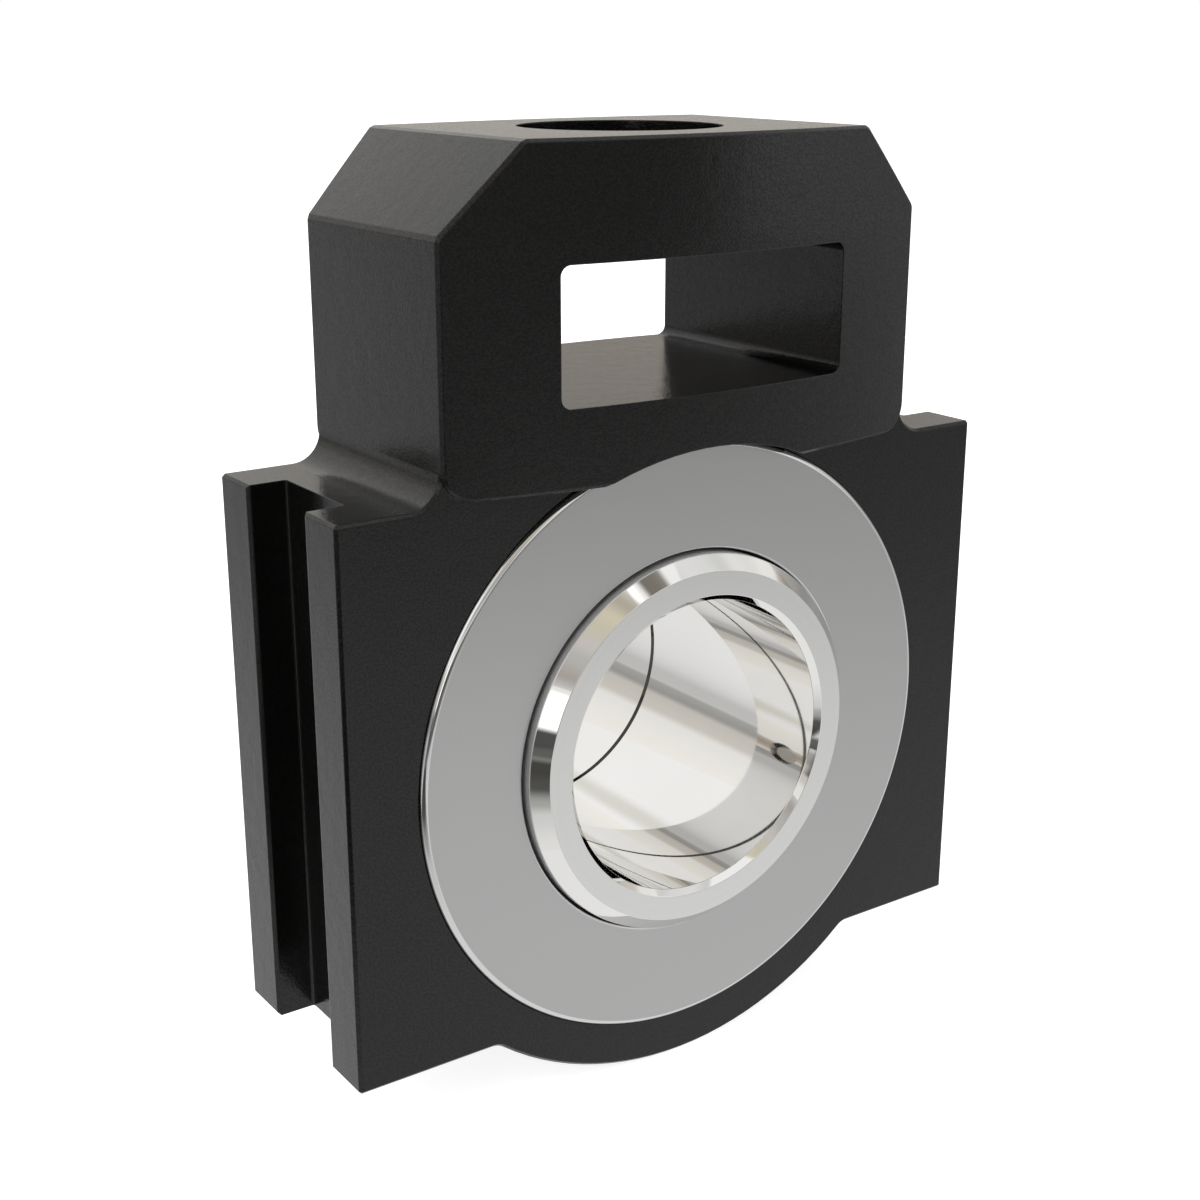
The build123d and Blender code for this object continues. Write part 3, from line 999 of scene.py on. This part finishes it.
def make_camera(lens_length, place, down, right):
    """The camera. It looks down by one angle, and to the right of +Y by the other."""
    lens = bpy.data.cameras.new("camera")
    lens.sensor_width = 36
    lens.lens = lens_length
    lens.clip_start = 0.01
    camera = bpy.data.objects.new("camera", lens)
    bpy.context.scene.collection.objects.link(camera)
    camera.location = place
    camera.rotation_euler = (radians(90 - down), 0, radians(-right))
    bpy.context.scene.camera = camera


make_world(0.62)
make_floor(glow=0.84, near=0.90, far=0.58)
make_horizon(2.3, [
    (-0.07, (0.62, 0.62, 0.61)),
    (0.02, (0.40, 0.40, 0.39)),
    (0.17, (0.36, 0.355, 0.345)),
    (0.31, (0.62, 0.59, 0.55)),
    (0.55, (0.66, 0.625, 0.58)),
    (0.75, (0.90, 0.89, 0.86)),
    (1.15, (0.95, 0.935, 0.895)),
    (1.45, (0.98, 0.965, 0.915)),
])

# In front of the object

make_card(
    "dark_front_card", azimuth=-74, distance=1.45, middle=0.175, width=1.15, height=0.49,
    strength=0.28, stops=plain((1, 1, 0.97)), border=(0.03, 0.02),
)
make_card(
    "dark_corner_card", azimuth=-115, distance=1.36, middle=0.10, width=0.95, height=0.40,
    strength=0.10, stops=plain((1, 1, 0.97)), border=(0.15, 0.15),
)
make_mat("dark_corner_mat", azimuth=-125, start=0.35, length=1.08, width=0.80, height=4 * MM, stops=[
    (0.0, (0.35, 0.35, 0.345)),
    (0.15, (0.13, 0.13, 0.125)),
    (1.0, (0.09, 0.09, 0.088)),
], border=(0.1, 0.2))
make_mat("dark_front_mat", azimuth=-84, start=0.42, length=1.02, width=1.15, height=3 * MM, stops=[
    (0.0, (0.60, 0.60, 0.59)),
    (0.25, (0.43, 0.43, 0.425)),
    (1.0, (0.30, 0.30, 0.295)),
], border=(0.12, 0.12))
make_card(
    "bright_front_card", azimuth=-33, distance=1.5, middle=0.215, width=0.85, height=0.57,
    strength=1.2, border=(0.03, 0.02), stops=[
        (0.0, (0.96, 0.96, 0.96)),
        (0.3, (0.85, 0.85, 0.85)),
        (0.6, (0.70, 0.70, 0.70)),
        (0.85, (0.56, 0.56, 0.555)),
        (1.0, (0.50, 0.50, 0.49)),
    ],
)

# At its left

make_card(
    "left_front_card", azimuth=-141.5, distance=1.25, middle=0.255, width=0.27, height=0.43,
    strength=1.7, stops=plain((1, 1, 1)), border=(0.07, 0.18),
)
make_card(
    "left_low_card", azimuth=-144, distance=1.3, middle=-0.02, width=0.42, height=0.33,
    strength=0.085, stops=plain((1, 1, 0.97)), border=(0.1, 0.2),
)
make_card(
    "left_high_card", azimuth=176, distance=1.25, middle=0.80, width=1.0, height=0.75,
    strength=1.5, stops=plain((0.97, 0.98, 1)), border=(0.15, 0.15), look_at=0.0,
)
make_mat("dark_mat", azimuth=-146, start=0.085, length=1.35, width=0.22, height=2 * MM, stops=[
    (0.0, (0.85, 0.85, 0.84)),
    (0.033, (0.70, 0.70, 0.70)),
    (0.053, (0.42, 0.42, 0.41)),
    (0.09, (0.09, 0.09, 0.085)),
    (0.163, (0.065, 0.064, 0.058)),
    (1.0, (0.08, 0.08, 0.078)),
], border=(0.0001, 0.12))

# Above its front

make_card(
    "warm_ceiling_card", azimuth=-120, distance=0.96, middle=0.886, width=1.03, height=0.98,
    strength=1.0, along="Y", border=(0.06, 0.02), look_at=0.0, stops=[
        (0.0, (0.62, 0.615, 0.605)),
        (0.13, (0.44, 0.41, 0.385)),
        (0.31, (0.52, 0.515, 0.50)),
        (0.465, (0.63, 0.60, 0.565)),
        (0.614, (0.64, 0.60, 0.49)),
        (0.737, (0.70, 0.64, 0.50)),
        (0.878, (0.50, 0.46, 0.38)),
        (1.0, (0.68, 0.64, 0.585)),
    ],
)
make_card(
    "ceiling_gap", azimuth=-68, distance=0.62, middle=1.09, width=0.33, height=0.34,
    strength=1.0, border=(0.25, 0.2), look_at=0.0, stops=[
        (0.0, (0.21, 0.19, 0.16)),
        (0.5, (0.22, 0.20, 0.175)),
        (1.0, (0.34, 0.33, 0.30)),
    ],
)
make_card(
    "ceiling_spot", azimuth=-88, distance=0.60, middle=1.03, width=0.11, height=0.12,
    strength=1.4, stops=plain((1, 0.99, 0.98)), border=(0.4, 0.4), look_at=0.0,
)
make_card(
    "front_ceiling_card", azimuth=-21, distance=1.0, middle=0.90, width=1.0, height=0.86,
    strength=1.0, border=(0.06, 0.05), look_at=0.0, stops=[
        (0.05, (0.70, 0.70, 0.70)),
        (0.26, (0.83, 0.83, 0.83)),
        (0.43, (0.80, 0.80, 0.80)),
        (0.55, (0.72, 0.72, 0.715)),
        (0.67, (0.86, 0.86, 0.855)),
        (0.80, (0.84, 0.835, 0.82)),
        (1.0, (0.97, 0.94, 0.90)),
    ],
)

# At its right and behind it

make_card(
    "right_card", azimuth=10.5, distance=1.4, middle=0.215, width=0.47, height=0.57,
    strength=1.0, along="Y", border=(0.1, 0.05), stops=[
        (0.0, (0.52, 0.52, 0.51)),
        (0.30, (0.46, 0.455, 0.44)),
        (0.58, (0.42, 0.41, 0.39)),
        (0.80, (0.52, 0.465, 0.42)),
        (1.0, (0.92, 0.84, 0.76)),
    ],
)
make_card(
    "rear_right_card", azimuth=54, distance=1.8, middle=0.355, width=0.96, height=0.40,
    strength=1.0, along="Y", border=(0.2, 0.08), stops=[
        (0.0, (0.78, 0.76, 0.71)),
        (0.15, (0.73, 0.70, 0.65)),
        (0.32, (0.50, 0.445, 0.38)),
        (0.59, (0.41, 0.355, 0.295)),
        (0.745, (0.48, 0.42, 0.355)),
        (1.0, (0.66, 0.60, 0.53)),
    ],
)
make_card(
    "rear_ceiling_card", azimuth=72, distance=1.18, middle=0.92, width=0.46, height=0.34,
    strength=1.0, border=(0.4, 0.4), look_at=0.0, stops=[
        (0.0, (0.84, 0.83, 0.79)),
        (0.5, (0.79, 0.78, 0.73)),
        (1.0, (0.86, 0.85, 0.81)),
    ],
)

# Lamps and camera

make_softbox(
    "rear_softbox", place=(0.55, 1.0, 0.75), target=(0, 0, 0.05), width=1.2, height=0.8,
    radiance=1.5, colour=(1.0, 0.98, 0.95),
)
make_softbox(
    "front_softbox", place=(-0.9, -0.5, 1.0), target=(0, 0, 0.03), width=1.0, height=0.9,
    radiance=1.5, colour=(1.0, 0.99, 0.97),
)
make_camera(lens_length=54.31, place=(-0.2067, -0.2888, 0.1356), down=17.57, right=34.99)

bpy.context.scene.view_settings.view_transform = "Standard"
